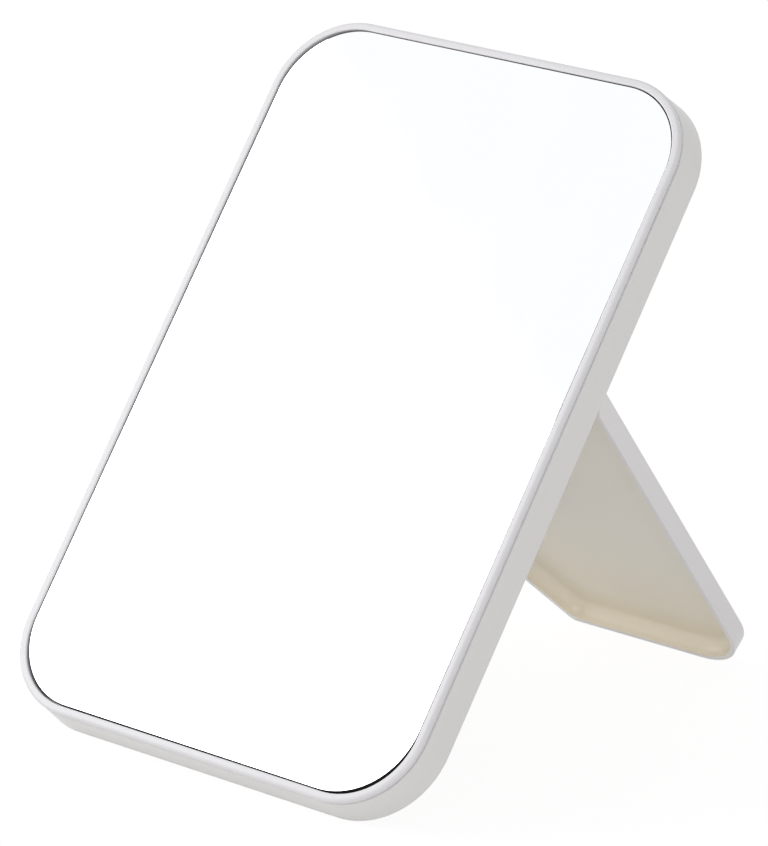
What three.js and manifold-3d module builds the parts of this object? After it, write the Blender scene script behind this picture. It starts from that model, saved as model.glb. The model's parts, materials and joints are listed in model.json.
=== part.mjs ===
// A folding tabletop mirror: a glass mirror in a two-piece plastic casing that leans back on a
// tray-shaped leg, hinged across the back. Millimetres, +Z up, the mirror faces -Y.
import * as THREE from "three";
import { mergeVertices } from "three/addons/utils/BufferGeometryUtils.js";
import Module from "manifold-3d";

const wasm = await Module();
wasm.setup();

// Casing, measured in the panel's own frame: x across, y from its front face to the rear, z up it
const panelWidth = 160;
const panelHeight = 250;
const panelDepth = 15;
const cornerRadius = 27.5;
const sideDraft = 1; // the casing's sides spread this much from the seam to the rear
const frontEdgeRadius = 1.8;
const rearEdgeRadius = 0.8;
const gap = 0.3; // between two pieces that touch or run on each other

// Front bezel
const bezelFace = 2.8; // from the outline to the opening that the glass lies in
const openingEdgeRadius = 0.7;
const bezelDepth = 2.4; // the visible ring, up to the seam
const skirtDepth = 7; // the skirt goes inside the casing's rim
const ledgeThickness = 1.4; // the ledge behind the glass
const ledgeWidth = 13;
const hookThickness = 1;
const hookLength = 3.6; // beyond the skirt
const hookWidth = 8;
const barbReach = 0.8;
const barbHeight = 0.9;
const sideHooks = 3;
const endHooks = 2;
const sideHookPitch = 72;
const endHookPitch = 56;

// Mirror glass and the foam tape that holds it on the ledge
const glassThickness = 3;
const glassDrop = 0.5; // the glass lies this far behind the bezel's face
const glassCornerRadius = 25; // a little more than the opening's, so that the corners clear it
const foamThickness = 0.8;
const foamWidth = 10;
const foamInset = 5; // from the casing's outline to the strip's outer side
const foamCornerClear = 20; // a side strip ends this far from the panel's ends
const endFoamCornerClear = 28; // a top or bottom strip ends this far from the panel's sides

// Rear casing
const rimWall = 0.8; // beside the skirt
const casingWall = 1.9;
const casingFloor = 2;
const ribThickness = 1.4;
const ribPairPitch = 6; // the two ribs under the ledge, below a foam strip
const middleRibSpacing = 48; // between the two upright ribs in the middle
const crossRibs = 3;
const crossRibPitch = 54;
const bossRadius = 3;
const bossHeight = 5;

// Leg: a tray whose open side faces the panel's back when it is folded
const hingeHeight = 147; // the hinge axis above the panel's bottom
const hingeSetback = 2.9; // the hinge axis behind the panel's rear face
const legOpenAngle = THREE.MathUtils.degToRad(78); // from folded flat to the stop
const legSpread = 0.4; // how far each side of the leg stands beyond the panel's width at its front
const legDepth = 7.2;
const legWall = 1.8;
const legEndWall = 2.4;
const legFootClear = 0.5; // the folded foot ends this far above the panel's bottom
const legFootStart = 8; // the foot runs from here to the right side
const legFootRadius = 20;
const legPointRadius = 2.5;
const legEdgeRadius = 0.8;

// Hinges: two alike, one each side of the middle
const hingeSpacing = 100;
const bracketThickness = 1.2;
const bracketBaseWidth = 10;
const bracketBaseHeight = 10;
const lugThickness = 1.6;
const lugRadius = 2.3;
const lugShoulder = THREE.MathUtils.degToRad(-30); // where its straight side meets its round end
const pinRadius = 1;
const pinHeadRadius = 1.9;
const pinHeadThickness = 1.1;
const pinOverhang = 1.1; // beyond the clip
const knuckleWidth = 2.4;
const washerRadius = 2.1;
const washerThickness = 0.4; // also a wave washer's height over its waves
const waveSheet = 0.2;
const waves = 3;
const clipRadius = 2.2;
const clipThickness = 0.5;
const clipOpening = 0.9;
const screwRadius = 1.1;
const screwHeadRadius = 1.9;
const screwHeadThickness = 1;
const screwLength = 7.5;
const screwPitch = 4.8;
const crossSlotWidth = 0.5;
const crossSlotDepth = 0.5;
const crossSlotReach = 0.6; // of the head's radius

// Facets
const cornerSteps = 12;
const edgeSteps = 3;
const roundSides = 24;
const leastRadius = 0.2;

// Materials, by what each piece is made of
const plastic = { color: 0xe2e0dd, roughness: 0.42, metalness: 0 };
const legPlastic = { color: 0xdedad6, roughness: 0.45, metalness: 0 };
const silvered = { color: 0xf2f5f7, roughness: 0.02, metalness: 1 };
const foam = { color: 0x6f7073, roughness: 0.95, metalness: 0 };
const zincSteel = { color: 0xb9bcc0, roughness: 0.35, metalness: 1 };
const springSteel = { color: 0x8f9398, roughness: 0.3, metalness: 1 };

// Solids: a closed geometry becomes a manifold, and a manifold becomes a mesh
function solidOf(geometry) {
  const bare = geometry.index ? geometry.toNonIndexed() : geometry.clone();
  bare.deleteAttribute("normal");
  bare.deleteAttribute("uv");
  const merged = mergeVertices(bare, 1e-4);
  return new wasm.Manifold(
    new wasm.Mesh({
      numProp: 3,
      vertProperties: merged.attributes.position.array,
      triVerts: new Uint32Array(merged.index.array),
    }),
  );
}

function meshOf(name, solid, finish) {
  const { vertProperties, triVerts } = solid.getMesh();
  const geometry = new THREE.BufferGeometry()
    .setAttribute("position", new THREE.BufferAttribute(vertProperties, 3))
    .setIndex(new THREE.BufferAttribute(triVerts, 1));
  geometry.computeVertexNormals();
  const mesh = new THREE.Mesh(geometry, new THREE.MeshStandardMaterial({ ...finish, flatShading: true }));
  mesh.name = name;
  return mesh;
}

const join = (...solids) => solids.reduce((whole, piece) => whole.add(piece));

function block(x0, x1, y0, y1, z0, z1) {
  const geometry = new THREE.BoxGeometry(x1 - x0, y1 - y0, z1 - z0);
  return solidOf(geometry.translate((x0 + x1) / 2, (y0 + y1) / 2, (z0 + z1) / 2));
}

// A round bar along x or y, around the point [y, z] or [x, z]
function barAlongX(radius, x0, x1, y, z) {
  const geometry = new THREE.CylinderGeometry(radius, radius, x1 - x0, roundSides).rotateZ(Math.PI / 2);
  return solidOf(geometry.translate((x0 + x1) / 2, y, z));
}

function barAlongY(radius, y0, y1, x, z) {
  const geometry = new THREE.CylinderGeometry(radius, radius, y1 - y0, roundSides);
  return solidOf(geometry.translate(x, (y0 + y1) / 2, z));
}

// Outlines: convex, anticlockwise seen from the front, as corners { x, z, r }. A corner with
// sharp: true is one short chamfer and not an arc.
function insetCorners(corners, inset) {
  const edges = corners.map((corner, i) => {
    const next = corners[(i + 1) % corners.length];
    const along = new THREE.Vector2(next.x - corner.x, next.z - corner.z).normalize();
    const inward = new THREE.Vector2(-along.y, along.x);
    return { along, at: new THREE.Vector2(corner.x, corner.z).addScaledVector(inward, inset) };
  });
  return corners.map((corner, i) => {
    const before = edges[(i + edges.length - 1) % edges.length];
    const after = edges[i];
    const reach = after.at.clone().sub(before.at).cross(after.along) / before.along.cross(after.along);
    const point = before.at.clone().addScaledVector(before.along, reach);
    return { ...corner, x: point.x, z: point.y, r: corner.r - inset };
  });
}

function roundedPoints(corners) {
  const points = [];
  corners.forEach((corner, i) => {
    const here = new THREE.Vector2(corner.x, corner.z);
    const last = corners[(i + corners.length - 1) % corners.length];
    const next = corners[(i + 1) % corners.length];
    const back = new THREE.Vector2(last.x, last.z).sub(here).normalize();
    const ahead = new THREE.Vector2(next.x, next.z).sub(here).normalize();
    const half = Math.acos(back.dot(ahead)) / 2;
    const radius = Math.max(corner.r, leastRadius);
    const centre = here.clone().addScaledVector(back.clone().add(ahead).normalize(), radius / Math.sin(half));
    const start = here.clone().addScaledVector(back, radius / Math.tan(half)).sub(centre);
    const turn = Math.PI - 2 * half;
    const steps = corner.sharp ? 1 : cornerSteps;
    for (let k = 0; k <= steps; k++)
      points.push(start.clone().rotateAround(new THREE.Vector2(), (turn * k) / steps).add(centre));
  });
  return points;
}

// A slab with an outline, drawn through levels [y, inset] from front to rear
function slab(corners, levels) {
  const rings = levels.map(([y, inset]) =>
    roundedPoints(insetCorners(corners, inset)).map((point) => new THREE.Vector3(point.x, y, point.y)),
  );
  const sides = rings[0].length;
  const triangles = [];
  for (let i = 0; i < sides; i++) {
    const j = (i + 1) % sides;
    for (let k = 0; k + 1 < rings.length; k++) {
      const [a, b, c, d] = [rings[k][i], rings[k][j], rings[k + 1][j], rings[k + 1][i]];
      triangles.push(a, c, b, a, d, c);
    }
  }
  for (const [ring, turned] of [[rings[0], false], [rings.at(-1), true]]) {
    const centre = ring.reduce((sum, point) => sum.add(point), new THREE.Vector3()).divideScalar(sides);
    for (let i = 0; i < sides; i++) {
      const [a, b] = [ring[i], ring[(i + 1) % sides]];
      triangles.push(centre, turned ? b : a, turned ? a : b);
    }
  }
  return solidOf(new THREE.BufferGeometry().setFromPoints(triangles));
}

// Levels of a rounded edge, where the outline draws in by the edge's radius
function frontEdge(radius) {
  return Array.from({ length: edgeSteps + 1 }, (_, k) => {
    const angle = (k / edgeSteps) * (Math.PI / 2);
    return [radius * (1 - Math.cos(angle)), radius * (1 - Math.sin(angle))];
  });
}

function rearEdge(y, radius) {
  return frontEdge(radius)
    .map(([depth, inset]) => [y - depth, inset])
    .reverse();
}

// A prism along x of a profile of [y, z] points, anticlockwise seen from +x
function prismAlongX(profile, x0, x1) {
  const shape = new THREE.Shape(profile.map(([y, z]) => new THREE.Vector2(y, z)));
  const geometry = new THREE.ExtrudeGeometry(shape, { depth: x1 - x0, bevelEnabled: false });
  const turn = new THREE.Matrix4().set(0, 0, 1, x0, 1, 0, 0, 0, 0, 1, 0, 0, 0, 0, 0, 1);
  return solidOf(geometry.applyMatrix4(turn));
}

function arcPoints(y, z, radius, from, to, steps) {
  return Array.from({ length: steps + 1 }, (_, k) => {
    const angle = from + ((to - from) * k) / steps;
    return [y + radius * Math.cos(angle), z + radius * Math.sin(angle)];
  });
}

const panelOutline = [
  { x: -panelWidth / 2, z: 0, r: cornerRadius },
  { x: panelWidth / 2, z: 0, r: cornerRadius },
  { x: panelWidth / 2, z: panelHeight, r: cornerRadius },
  { x: -panelWidth / 2, z: panelHeight, r: cornerRadius },
];

// Depths and insets that follow from the sizes above
const skirtInset = rimWall + gap;
const glassInset = bezelFace + gap;
const glassBack = glassDrop + glassThickness;
const foamFront = glassBack + gap;
const ledgeFront = foamFront + foamThickness + gap;
const ledgeBack = ledgeFront + ledgeThickness;
const ribTop = ledgeBack + gap;
const floorFront = panelDepth - casingFloor;
const hookInset = casingWall + gap;
const hookEnd = skirtDepth + hookLength;
const barbFront = hookEnd - barbHeight;

// Where the snap hooks stand: [middle along the side, side] with side 0 bottom, 1 right, 2 top, 3 left
function hookPlaces() {
  const places = [];
  for (let k = 0; k < sideHooks; k++) {
    const z = panelHeight / 2 + (k - (sideHooks - 1) / 2) * sideHookPitch;
    places.push([z, 1], [z, 3]);
  }
  for (let k = 0; k < endHooks; k++) {
    const x = (k - (endHooks - 1) / 2) * endHookPitch;
    places.push([x, 0], [x, 2]);
  }
  return places;
}

// A block that stands on a side of the panel, between two insets from its outline
function blockAtSide([middle, side], width, inset0, inset1, y0, y1) {
  const [low, high] = [middle - width / 2, middle + width / 2];
  if (side === 0) return block(low, high, y0, y1, inset0, inset1);
  if (side === 2) return block(low, high, y0, y1, panelHeight - inset1, panelHeight - inset0);
  if (side === 1) return block(panelWidth / 2 - inset1, panelWidth / 2 - inset0, y0, y1, low, high);
  return block(inset0 - panelWidth / 2, inset1 - panelWidth / 2, y0, y1, low, high);
}

function frontBezel() {
  const ring = slab(panelOutline, [...frontEdge(frontEdgeRadius), [bezelDepth, 0]]);
  const skirt = slab(panelOutline, [[bezelDepth - gap, skirtInset], [skirtDepth, skirtInset]]);
  const openingEdge = frontEdge(openingEdgeRadius).map(([depth, inset]) => [depth, bezelFace - inset]);
  const opening = slab(panelOutline, [
    [-gap, bezelFace - openingEdgeRadius],
    ...openingEdge,
    [ledgeFront, bezelFace],
  ]);
  const ledgeInset = bezelFace + ledgeWidth;
  const ledgeOpening = slab(panelOutline, [[ledgeFront - gap, ledgeInset], [ledgeBack + gap, ledgeInset]]);
  const pocket = slab(panelOutline, [[ledgeBack, bezelFace], [skirtDepth + gap, bezelFace]]);
  const hooks = hookPlaces().map((place) =>
    join(
      blockAtSide(place, hookWidth, hookInset, hookInset + hookThickness, ledgeBack - gap, hookEnd),
      blockAtSide(place, hookWidth, hookInset - barbReach, hookInset + gap, barbFront, hookEnd),
    ),
  );
  return join(ring.add(skirt).subtract(opening).subtract(ledgeOpening).subtract(pocket), ...hooks);
}

function mirrorGlass() {
  const outline = insetCorners(panelOutline, glassInset).map((corner) => ({ ...corner, r: glassCornerRadius }));
  return slab(outline, [[glassDrop, 0], [glassBack, 0]]);
}

function foamStrips() {
  const [y0, y1] = [foamFront, foamFront + foamThickness];
  const sideLength = panelHeight - 2 * foamCornerClear;
  const endLength = panelWidth - 2 * endFoamCornerClear;
  const strip = (middle, side, length) =>
    blockAtSide([middle, side], length, foamInset, foamInset + foamWidth, y0, y1);
  return {
    foam_strip_bottom: strip(0, 0, endLength),
    foam_strip_right: strip(panelHeight / 2, 1, sideLength),
    foam_strip_top: strip(0, 2, endLength),
    foam_strip_left: strip(panelHeight / 2, 3, sideLength),
  };
}

// Hinge places, in the panel's frame, with outboard = +1 on the right and -1 on the left
const hinges = { left: -1, right: 1 };
const baseTop = hingeHeight - hingeSetback - gap;
const screwHeights = [-1, 1].map((step) => baseTop - bracketBaseHeight / 2 + (step * screwPitch) / 2);
const screwOutboard = hingeSpacing / 2 - lugThickness / 2 - bracketBaseWidth / 2;

function casingRibs() {
  const pair = foamInset + foamWidth / 2;
  const ribs = [];
  for (const step of [-1, 1]) {
    const inset = pair + (step * ribPairPitch) / 2;
    const [near, far] = [inset - ribThickness / 2, inset + ribThickness / 2];
    for (const [middle, side, length] of [
      [0, 0, panelWidth - 2 * endFoamCornerClear],
      [panelHeight / 2, 1, panelHeight - 2 * foamCornerClear],
      [0, 2, panelWidth - 2 * endFoamCornerClear],
      [panelHeight / 2, 3, panelHeight - 2 * foamCornerClear],
    ])
      ribs.push(blockAtSide([middle, side], length, near, far, ribTop, floorFront + gap));
    const x = (step * middleRibSpacing) / 2;
    const [low, high] = [pair, panelHeight - pair];
    ribs.push(block(x - ribThickness / 2, x + ribThickness / 2, ribTop, floorFront + gap, low, high));
  }
  for (let k = 0; k < crossRibs; k++) {
    const z = panelHeight / 2 + (k - (crossRibs - 1) / 2) * crossRibPitch;
    const reach = panelWidth / 2 - pair;
    ribs.push(block(-reach, reach, ribTop, floorFront + gap, z - ribThickness / 2, z + ribThickness / 2));
  }
  return ribs;
}

function rearCasing() {
  const spread = rearEdge(panelDepth, rearEdgeRadius).map(([y, inset]) => [y, inset - sideDraft]);
  const body = slab(panelOutline, [[bezelDepth + gap, 0], ...spread]);
  const rimPocket = slab(panelOutline, [[bezelDepth, rimWall], [skirtDepth + gap, rimWall]]);
  const hollow = slab(panelOutline, [[skirtDepth, casingWall], [floorFront, casingWall]]);
  const bossFront = floorFront - bossHeight;
  const bosses = [];
  const holes = []; // each starts in front of the ribs and its boss
  for (const outboard of Object.values(hinges))
    for (const z of screwHeights) {
      const x = outboard * screwOutboard;
      bosses.push(barAlongY(bossRadius, bossFront, floorFront + gap, x, z));
      holes.push(barAlongY(screwRadius + gap, Math.min(ribTop, bossFront) - gap, panelDepth + gap, x, z));
    }
  const catches = hookPlaces().map((place) =>
    blockAtSide(
      place,
      hookWidth + 2 * gap,
      hookInset - barbReach - gap,
      casingWall + gap,
      barbFront - gap,
      hookEnd + gap,
    ),
  );
  const shell = body.subtract(rimPocket).subtract(hollow);
  return join(shell, ...casingRibs(), ...bosses)
    .subtract(join(...holes))
    .subtract(join(...catches));
}

// Leg frame: the hinge axis is its x axis, y points away from the panel and the foot is down -z
const rimReach = hingeSetback - gap;
const outerReach = legDepth - rimReach;
const legLength = hingeHeight - legFootClear;
const stopAngle = Math.PI - legOpenAngle; // towards the face that meets the panel's back, from +y
const legTop = (rimReach - outerReach * Math.cos(stopAngle)) / Math.sin(stopAngle);
const legSide = panelWidth / 2 + legSpread;
const legSlant = (legFootStart + legSide) / (legTop + legLength);

// The slanted side runs from the foot to the left end of the hinge, wherever the outline is cut off
function legOutline(top) {
  return [
    { x: legFootStart, z: -legLength, r: legPointRadius },
    { x: legSide, z: -legLength, r: legFootRadius },
    { x: legSide, z: top, r: 0, sharp: true },
    { x: (legTop - top) * legSlant - legSide, z: top, r: 0, sharp: true },
  ];
}

// Along x from the lug's middle, outboard positive: what the pin carries
const knuckleInner = lugThickness / 2 + gap + washerThickness + gap;
const knuckleOuter = knuckleInner + knuckleWidth;
const clipInner = knuckleOuter + gap;
const pinTip = clipInner + clipThickness + pinOverhang;

// Two x coordinates, sorted, for a stretch of a hinge
function stretch(outboard, from, to) {
  const ends = [from, to].map((u) => outboard * (hingeSpacing / 2 + u));
  return ends.sort((a, b) => a - b);
}

function standLeg() {
  const tray = slab(legOutline(legTop), [[-rimReach, 0], ...rearEdge(outerReach, legEdgeRadius)]);
  const inside = outerReach - legWall;
  const hollowOutline = legOutline(legTop - legEndWall + legWall);
  const hollow = slab(hollowOutline, [[-rimReach - gap, legWall], [inside, legWall]]);
  const beyond = outerReach + gap;
  const endProfile = [
    [-rimReach, -legLength - gap],
    [beyond, -legLength - gap],
    [beyond, (rimReach - beyond * Math.cos(stopAngle)) / Math.sin(stopAngle)],
    ...arcPoints(0, 0, rimReach, stopAngle, Math.PI, cornerSteps),
  ];
  const end = prismAlongX(endProfile, -panelWidth, panelWidth);
  const openings = [];
  const knuckles = [];
  const bores = [];
  for (const outboard of Object.values(hinges)) {
    const module = stretch(outboard, -pinTip - gap, pinTip + gap);
    openings.push(block(...module, -rimReach - gap, inside, -rimReach, legTop + gap));
    for (const [from, to] of [[knuckleInner, knuckleOuter], [-knuckleOuter, -knuckleInner]]) {
      const [x0, x1] = stretch(outboard, from, to);
      knuckles.push(barAlongX(rimReach, x0, x1, 0, 0));
      knuckles.push(block(x0, x1, 0, inside + gap, -rimReach, rimReach));
      bores.push(barAlongX(pinRadius + gap, x0 - gap, x1 + gap, 0, 0));
    }
  }
  const plate = tray.subtract(hollow).intersect(end).subtract(join(...openings));
  return join(plate, ...knuckles).subtract(join(...bores));
}

// Bracket: a base screwed flat on the panel's back and a lug that stands out to the hinge axis.
// It and the next four pieces are drawn around the hinge axis, in the panel's directions.
function hingeBracket(outboard) {
  const back = -hingeSetback + gap;
  const [baseIn, baseOut] = stretch(outboard, -lugThickness / 2 - bracketBaseWidth, lugThickness / 2);
  const top = baseTop - hingeHeight;
  const bottom = top - bracketBaseHeight;
  const base = block(baseIn, baseOut, back, back + bracketThickness, bottom, top);
  const [lugIn, lugOut] = stretch(outboard, -lugThickness / 2, lugThickness / 2);
  const lugProfile = [
    [back, bottom],
    [back + bracketThickness, bottom],
    ...arcPoints(0, 0, lugRadius, lugShoulder, Math.PI, roundSides / 2),
    [back, 0],
  ];
  const lug = prismAlongX(lugProfile, lugIn, lugOut);
  const holes = screwHeights.map((z) => {
    const [from, to] = [back - gap, back + bracketThickness + gap];
    return barAlongY(screwRadius + gap, from, to, outboard * screwOutboard, z - hingeHeight);
  });
  const bore = barAlongX(pinRadius + gap, lugIn - gap, lugOut + gap, 0, 0);
  return join(base, lug).subtract(join(...holes)).subtract(bore);
}

function hingePin(outboard) {
  const shank = barAlongX(pinRadius, ...stretch(outboard, -knuckleOuter - gap, pinTip), 0, 0);
  const headEnd = -knuckleOuter - gap - pinHeadThickness;
  return shank.add(barAlongX(pinHeadRadius, ...stretch(outboard, headEnd, -knuckleOuter - gap), 0, 0));
}

function wearWasher(outboard) {
  const inner = -lugThickness / 2 - gap;
  const ends = stretch(outboard, inner - washerThickness, inner);
  const hole = stretch(outboard, inner - washerThickness - gap, inner + gap);
  return barAlongX(washerRadius, ...ends, 0, 0).subtract(barAlongX(pinRadius + gap, ...hole, 0, 0));
}

function waveWasher(outboard) {
  const middle = lugThickness / 2 + gap + washerThickness / 2;
  const swing = (washerThickness - waveSheet) / 2;
  const [inner, outer] = [pinRadius + gap, washerRadius];
  const sections = Array.from({ length: roundSides }, (_, k) => {
    const angle = (k / roundSides) * 2 * Math.PI;
    const u = middle + swing * Math.cos(waves * angle);
    const point = (radius, side) =>
      new THREE.Vector3(
        outboard * (hingeSpacing / 2 + u + (side * waveSheet) / 2),
        radius * Math.cos(angle),
        radius * Math.sin(angle),
      );
    const corners = [point(inner, -1), point(outer, -1), point(outer, 1), point(inner, 1)];
    return outboard > 0 ? corners.reverse() : corners;
  });
  const triangles = [];
  sections.forEach((here, k) => {
    const next = sections[(k + 1) % roundSides];
    here.forEach((a, i) => {
      const j = (i + 1) % here.length;
      triangles.push(a, here[j], next[j], a, next[j], next[i]);
    });
  });
  return solidOf(new THREE.BufferGeometry().setFromPoints(triangles));
}

function pinClip(outboard) {
  const half = Math.asin(clipOpening / 2 / pinRadius);
  const [from, to] = [half - Math.PI / 2, 1.5 * Math.PI - half];
  const profile = [
    ...arcPoints(0, 0, clipRadius, from, to, roundSides),
    ...arcPoints(0, 0, pinRadius + gap, to, from, roundSides),
  ];
  return prismAlongX(profile, ...stretch(outboard, clipInner, clipInner + clipThickness));
}

// Drawn in the panel's own frame
function bracketScrew(outboard, z) {
  const x = outboard * screwOutboard;
  const under = panelDepth + gap + bracketThickness + gap;
  const top = under + screwHeadThickness;
  const shank = barAlongY(screwRadius, under - screwLength, under, x, z);
  const head = barAlongY(screwHeadRadius, under, top, x, z);
  const [reach, half] = [screwHeadRadius * crossSlotReach, crossSlotWidth / 2];
  const [floor, above] = [top - crossSlotDepth, top + gap];
  const cross = block(x - reach, x + reach, floor, above, z - half, z + half).add(
    block(x - half, x + half, floor, above, z - reach, z + reach),
  );
  return shank.add(head).subtract(cross);
}

const panel = new THREE.Group();
panel.add(
  meshOf("front_bezel", frontBezel(), plastic),
  meshOf("mirror_glass", mirrorGlass(), silvered),
  meshOf("rear_casing", rearCasing(), plastic),
);
for (const [name, strip] of Object.entries(foamStrips())) panel.add(meshOf(name, strip, foam));

const hingeLine = new THREE.Group();
hingeLine.position.set(0, panelDepth + hingeSetback, hingeHeight);
panel.add(hingeLine);
for (const [side, outboard] of Object.entries(hinges)) {
  hingeLine.add(
    meshOf("hinge_bracket_" + side, hingeBracket(outboard), zincSteel),
    meshOf("hinge_pin_" + side, hingePin(outboard), zincSteel),
    meshOf("wear_washer_" + side, wearWasher(outboard), springSteel),
    meshOf("wave_washer_" + side, waveWasher(outboard), springSteel),
    meshOf("pin_clip_" + side, pinClip(outboard), springSteel),
  );
  const [lower, upper] = screwHeights;
  panel.add(
    meshOf("bracket_screw_" + side + "_lower", bracketScrew(outboard, lower), zincSteel),
    meshOf("bracket_screw_" + side + "_upper", bracketScrew(outboard, upper), zincSteel),
  );
}

const leg = new THREE.Group();
leg.add(meshOf("stand_leg", standLeg(), legPlastic));
leg.rotation.x = legOpenAngle;
hingeLine.add(leg);

// The mirror stands on the round rear edge of its panel and on the inner rim of the leg's foot.
// Its tilt is the one where a level floor touches both.
function standingTilt() {
  const foot = new THREE.Vector2(-rimReach, -legLength)
    .rotateAround(new THREE.Vector2(), legOpenAngle)
    .add(new THREE.Vector2(panelDepth + hingeSetback, hingeHeight));
  const edgeCentre = new THREE.Vector2(panelDepth - rearEdgeRadius, rearEdgeRadius - sideDraft);
  const across = foot.sub(edgeCentre);
  return Math.acos(-rearEdgeRadius / across.length()) - Math.atan2(across.x, across.y);
}
panel.rotation.x = -standingTilt();

// The origin is under the middle of the object's box, on the floor
const part = new THREE.Group();
part.add(panel);
const box = new THREE.Box3().setFromObject(part, true);
panel.position.set(-(box.min.x + box.max.x) / 2, -(box.min.y + box.max.y) / 2, -box.min.z);

export default part;
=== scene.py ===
# %% [markdown]
# # A folding tabletop mirror
# The mirror is a rounded pane of silvered glass in a thin white plastic casing. It leans back on one wide
# plastic leg, hinged across its back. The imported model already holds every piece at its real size, so it is
# loaded first and gives each new piece its place. All lengths in Blender are metres, so the sizes below are
# written in millimetres and multiplied by MM.

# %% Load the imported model
import json
import math

import bmesh
import bpy
from mathutils import Euler, Matrix, Vector


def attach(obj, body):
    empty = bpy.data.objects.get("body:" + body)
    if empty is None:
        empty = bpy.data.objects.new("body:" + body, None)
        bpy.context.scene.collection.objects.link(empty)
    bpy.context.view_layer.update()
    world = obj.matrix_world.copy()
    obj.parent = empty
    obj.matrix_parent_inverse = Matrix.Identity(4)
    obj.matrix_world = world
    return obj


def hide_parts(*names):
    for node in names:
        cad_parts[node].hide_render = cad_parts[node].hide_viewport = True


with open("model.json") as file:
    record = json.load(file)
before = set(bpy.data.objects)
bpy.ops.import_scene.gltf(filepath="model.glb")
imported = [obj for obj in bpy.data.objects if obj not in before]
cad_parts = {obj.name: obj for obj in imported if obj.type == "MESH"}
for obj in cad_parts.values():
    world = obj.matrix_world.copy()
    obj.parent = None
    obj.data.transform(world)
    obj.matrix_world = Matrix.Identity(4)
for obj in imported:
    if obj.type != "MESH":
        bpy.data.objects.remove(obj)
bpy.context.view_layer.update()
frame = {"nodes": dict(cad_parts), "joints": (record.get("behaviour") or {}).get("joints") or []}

MM = 0.001
hinge_joint = frame["joints"][0]
hinge_axis = Vector(hinge_joint["pos_m"])
print("the packed model holds", len(frame["nodes"]), "nodes, hinge axis at", tuple(hinge_axis))

# %% [markdown]
# ## The camera
# The photograph was taken from the front right, a little above the mirror, with a long lens, because the far
# and near edges of the panel are almost parallel. The camera comes first, so that every later piece can be
# compared with the photograph. Its place could be guessed and nudged. Here its angles, lens and place were
# worked out from the straight edges of the glass, the casing and the leg, which is more exact.

# %% Camera
camera_azimuth, camera_elevation, camera_roll = 37.317, 18.589, 1.409  # degrees
camera_place = Vector((884.93, -1164.21, 584.79)) * MM
camera_lens = 204.79  # millimetres, on a sensor whose long side is 36 mm

camera_data = bpy.data.cameras.new("photo_camera")
camera_data.lens = camera_lens
camera_data.sensor_width = 36
camera = bpy.data.objects.new("photo_camera", camera_data)
bpy.context.scene.collection.objects.link(camera)
turned = Euler((math.radians(90 - camera_elevation), 0, math.radians(camera_azimuth))).to_matrix()
rolled = turned @ Matrix.Rotation(math.radians(camera_roll), 3, "Z")
camera.matrix_world = Matrix.Translation(camera_place) @ rolled.to_4x4()
bpy.context.scene.camera = camera
print("camera at", tuple(camera_place), "with a lens of", camera_lens, "mm")

# %% [markdown]
# ## Nodes and colours
# A material is a small graph of nodes. One function adds a node, sets its values and links its inputs.
# Colours are written as hex numbers, as a paint chart gives them, and one function turns these into the
# linear light that the renderer counts with. No real surface has one even colour, so most materials here
# start from two close tints in soft patches.


# %% Helpers for materials
def linear(hex_colour):
    """A colour such as "e2e0dd" as linear red, green, blue and alpha."""
    parts = [int(hex_colour[i : i + 2], 16) / 255 for i in (0, 2, 4)]
    return [c / 12.92 if c <= 0.04045 else ((c + 0.055) / 1.055) ** 2.4 for c in parts] + [1.0]


def add_node(tree, kind, settings=None, links=None):
    """Add a node to a tree, with values for its inputs or properties and links into its inputs.

    Inputs are given by name or number. In a node that mixes colours, inputs 6 and 7 are the two colours.
    """
    made = tree.nodes.new(kind)
    for name, value in (settings or {}).items():
        if isinstance(name, int) or name in made.inputs:
            made.inputs[name].default_value = value
        else:
            setattr(made, name, value)
    for name, source in (links or {}).items():
        tree.links.new(source, made.inputs[name])
    return made


def start_material(name):
    """A new material, its empty tree, and the object's own coordinates as the place of each point."""
    material = bpy.data.materials.new(name)
    material.use_nodes = True
    tree = material.node_tree
    tree.nodes.clear()
    return material, tree, add_node(tree, "ShaderNodeTexCoord").outputs["Object"]


def patchy_tint(tree, place, colour, deep_colour, patch_size, detail):
    """Two close tints in soft patches. It gives the patches and the tint, for other nodes to use."""
    pattern = {"Scale": 1 / patch_size, "Detail": detail}
    patches = add_node(tree, "ShaderNodeTexNoise", pattern, {"Vector": place}).outputs[0]
    tints = {"data_type": "RGBA", 6: linear(deep_colour), 7: linear(colour)}
    return patches, add_node(tree, "ShaderNodeMix", tints, {0: patches}).outputs[2]


print("white plastic in linear light:", [round(c, 3) for c in linear("eeedec")])

# %% [markdown]
# ## The room
# The object stands on a plain white floor in a white room, as in a product photograph. What the camera and
# reflections see of the room is plain white, at strength 1. The same white would flatten the object as
# light, so the rays that light it meet a dimmer white, and a large lamp from the upper left gives the faces
# their different greys. The light path tells the two kinds of rays apart.

# %% World
room_white = linear("ffffff")
ambient_light = 0.55

world = bpy.data.worlds.new("white_room")
bpy.context.scene.world = world
world.use_nodes = True
sky = world.node_tree
sky.nodes.clear()


def seen_directly(tree):
    """An output that is 1 for rays from the camera, a reflection or clear glass, and 0 for diffuse light."""
    path = add_node(tree, "ShaderNodeLightPath")
    camera_or_gloss = add_node(
        tree,
        "ShaderNodeMath",
        {"operation": "MAXIMUM"},
        {0: path.outputs["Is Camera Ray"], 1: path.outputs["Is Glossy Ray"]},
    )
    seen = add_node(
        tree,
        "ShaderNodeMath",
        {"operation": "MAXIMUM"},
        {0: camera_or_gloss.outputs[0], 1: path.outputs["Is Transmission Ray"]},
    )
    return seen.outputs[0]


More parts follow.
